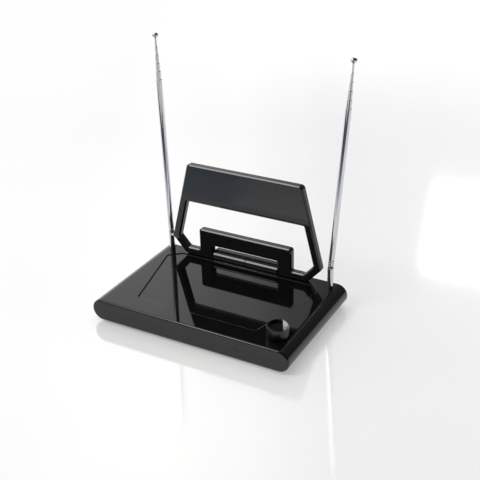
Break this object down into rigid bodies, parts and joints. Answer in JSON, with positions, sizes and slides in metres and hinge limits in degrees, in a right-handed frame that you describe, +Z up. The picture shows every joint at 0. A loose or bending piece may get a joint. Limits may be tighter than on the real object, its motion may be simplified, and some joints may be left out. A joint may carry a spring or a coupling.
{
  "type": "rabbit ears antenna",
  "caption": "Indoor television antenna: flat base with a fold-down loop, telescopic rods that swivel and tilt, and a tuning knob.",
  "frame": {"origin": "middle of the base's plan, on the surface that the rubber feet rest on", "axes": "+X to the right along the base's width, +Y to the back, where the sockets are, +Z up"},
  "size_m": [0.23, 0.1476, 0.2697],
  "materials": {
    "board": "green solder mask on glass epoxy",
    "brass": "turned brass",
    "chrome_tube": "chrome plated brass, drawn and polished",
    "copper": "copper strip",
    "ferrite": "sintered ferrite",
    "gloss_abs": "piano black gloss ABS, moulded",
    "knob_abs": "black ABS, moulded, semi gloss",
    "lens": "smoked acrylic",
    "nickel": "nickel plated brass",
    "rubber": "black rubber",
    "satin_abs": "black ABS, fine satin mould texture",
    "wire": "PVC insulation",
    "zinc_steel": "zinc plated steel"
  },
  "bodies": {
    "base": {"top_cover": "gloss_abs", "bottom_cover": "gloss_abs", "rubber_feet": "rubber", "cover_screws": "zinc_steel", "ballast_plate": "zinc_steel", "circuit_board": "board", "balun_ring": "ferrite", "rotary_switch": "zinc_steel", "switch_nut": "nickel", "indicator_led": "lens", "indicator_lens": "lens", "coax_jack": "nickel", "jack_nut": "nickel", "power_jack": "satin_abs", "inner_leads": "wire", "solder_tags": "brass", "swivel_bushes": "brass", "hinge_block": "gloss_abs", "hinge_screws": "zinc_steel"},
    "loop": {"loop_front": "gloss_abs", "loop_rear": "gloss_abs", "loop_conductor": "copper", "hinge_pins": "zinc_steel"},
    "knob": {"switch_shaft": "zinc_steel", "knob": "knob_abs"},
    "left_swivel": {"left_fork": "chrome_tube", "left_clip": "zinc_steel", "left_tilt_pin": "zinc_steel"},
    "left_outer": {"left_socket": "chrome_tube", "left_tube_1": "chrome_tube"},
    "left_section_2": {"left_tube_2": "chrome_tube"},
    "left_section_3": {"left_tube_3": "chrome_tube"},
    "left_section_4": {"left_tube_4": "chrome_tube"},
    "left_section_5": {"left_tube_5": "chrome_tube"},
    "left_section_6": {"left_rod_6": "chrome_tube", "left_tip": "chrome_tube"},
    "right_swivel": {"right_fork": "chrome_tube", "right_clip": "zinc_steel", "right_tilt_pin": "zinc_steel"},
    "right_outer": {"right_socket": "chrome_tube", "right_tube_1": "chrome_tube"},
    "right_section_2": {"right_tube_2": "chrome_tube"},
    "right_section_3": {"right_tube_3": "chrome_tube"},
    "right_section_4": {"right_tube_4": "chrome_tube"},
    "right_section_5": {"right_tube_5": "chrome_tube"},
    "right_section_6": {"right_rod_6": "chrome_tube", "right_tip": "chrome_tube"}
  },
  "joints": [
    {"name": "loop_fold", "type": "hinge", "parent": "base", "child": "loop", "pos_m": [-0.0024, 0.0606, 0.031], "axis": [1, 0, 0], "range_deg": [0, 90]},
    {"name": "knob_turn", "type": "hinge", "parent": "base", "child": "knob", "pos_m": [0.0915, -0.048, 0.026], "axis": [0, 0, 1], "range_deg": [-150, 150]},
    {"name": "left_swivel_turn", "type": "hinge", "parent": "base", "child": "left_swivel", "pos_m": [-0.099, 0.0606, 0.026], "axis": [0, 0, 1], "range_deg": [-90, 90]},
    {"name": "left_tilt", "type": "hinge", "parent": "left_swivel", "child": "left_outer", "pos_m": [-0.099, 0.0606, 0.048], "axis": [-0.7071, -0.7071, 0], "range_deg": [-12, 84]},
    {"name": "left_slide_2", "type": "slide", "parent": "left_outer", "child": "left_section_2", "axis": [-0.053, 0.053, 0.9972], "range_m": [0, 0.14]},
    {"name": "left_slide_3", "type": "slide", "parent": "left_section_2", "child": "left_section_3", "axis": [-0.053, 0.053, 0.9972], "range_m": [0, 0.14]},
    {"name": "left_slide_4", "type": "slide", "parent": "left_section_3", "child": "left_section_4", "axis": [-0.053, 0.053, 0.9972], "range_m": [0, 0.14]},
    {"name": "left_slide_5", "type": "slide", "parent": "left_section_4", "child": "left_section_5", "axis": [-0.053, 0.053, 0.9972], "range_m": [0, 0.14]},
    {"name": "left_slide_6", "type": "slide", "parent": "left_section_5", "child": "left_section_6", "axis": [-0.053, 0.053, 0.9972], "range_m": [0, 0.14]},
    {"name": "right_swivel_turn", "type": "hinge", "parent": "base", "child": "right_swivel", "pos_m": [0.099, 0.0606, 0.026], "axis": [0, 0, 1], "range_deg": [-90, 90]},
    {"name": "right_tilt", "type": "hinge", "parent": "right_swivel", "child": "right_outer", "pos_m": [0.099, 0.0606, 0.048], "axis": [-0.7071, 0.7071, 0], "range_deg": [-12, 84]},
    {"name": "right_slide_2", "type": "slide", "parent": "right_outer", "child": "right_section_2", "axis": [0.053, 0.053, 0.9972], "range_m": [0, 0.14]},
    {"name": "right_slide_3", "type": "slide", "parent": "right_section_2", "child": "right_section_3", "axis": [0.053, 0.053, 0.9972], "range_m": [0, 0.14]},
    {"name": "right_slide_4", "type": "slide", "parent": "right_section_3", "child": "right_section_4", "axis": [0.053, 0.053, 0.9972], "range_m": [0, 0.14]},
    {"name": "right_slide_5", "type": "slide", "parent": "right_section_4", "child": "right_section_5", "axis": [0.053, 0.053, 0.9972], "range_m": [0, 0.14]},
    {"name": "right_slide_6", "type": "slide", "parent": "right_section_5", "child": "right_section_6", "axis": [0.053, 0.053, 0.9972], "range_m": [0, 0.14]}
  ]
}
